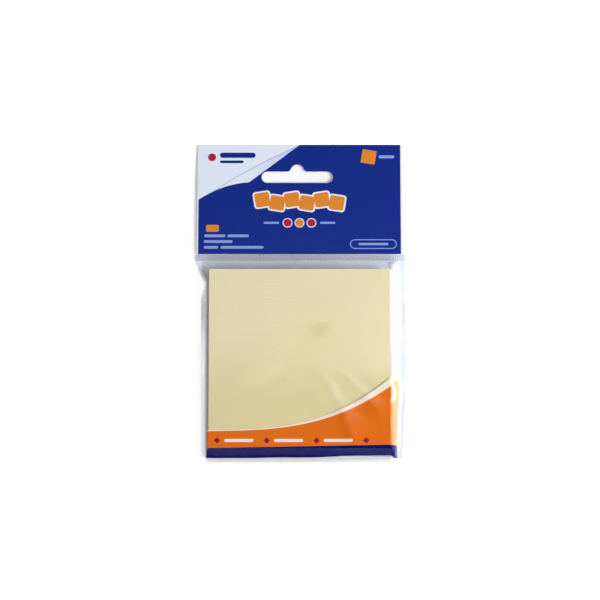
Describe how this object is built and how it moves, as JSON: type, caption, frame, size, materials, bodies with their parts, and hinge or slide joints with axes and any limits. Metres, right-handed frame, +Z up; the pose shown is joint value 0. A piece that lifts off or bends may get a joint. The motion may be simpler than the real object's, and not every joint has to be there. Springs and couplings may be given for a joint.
{
  "type": "sticky note pad",
  "caption": "Square pad of sticky notes on its release sheet, sealed in a clear film hanging bag whose header holds a stiff card with a punched hanging slot.",
  "frame": {"origin": "on the table, under the middle of the whole bag's length and width", "axes": "+X across the bag, +Y from the folded foot to the header, +Z up, out of the pad's front face"},
  "size_m": [0.088, 0.1338, 0.0096],
  "materials": {
    "note_paper": "uncoated",
    "release_paper": "uncoated",
    "clear_film": "gloss",
    "printed_card": "satin"
  },
  "bodies": {
    "root": {"note_pad": "note_paper", "release_sheet": "release_paper", "film_bag": "clear_film", "header_card": "printed_card"}
  },
  "joints": []
}
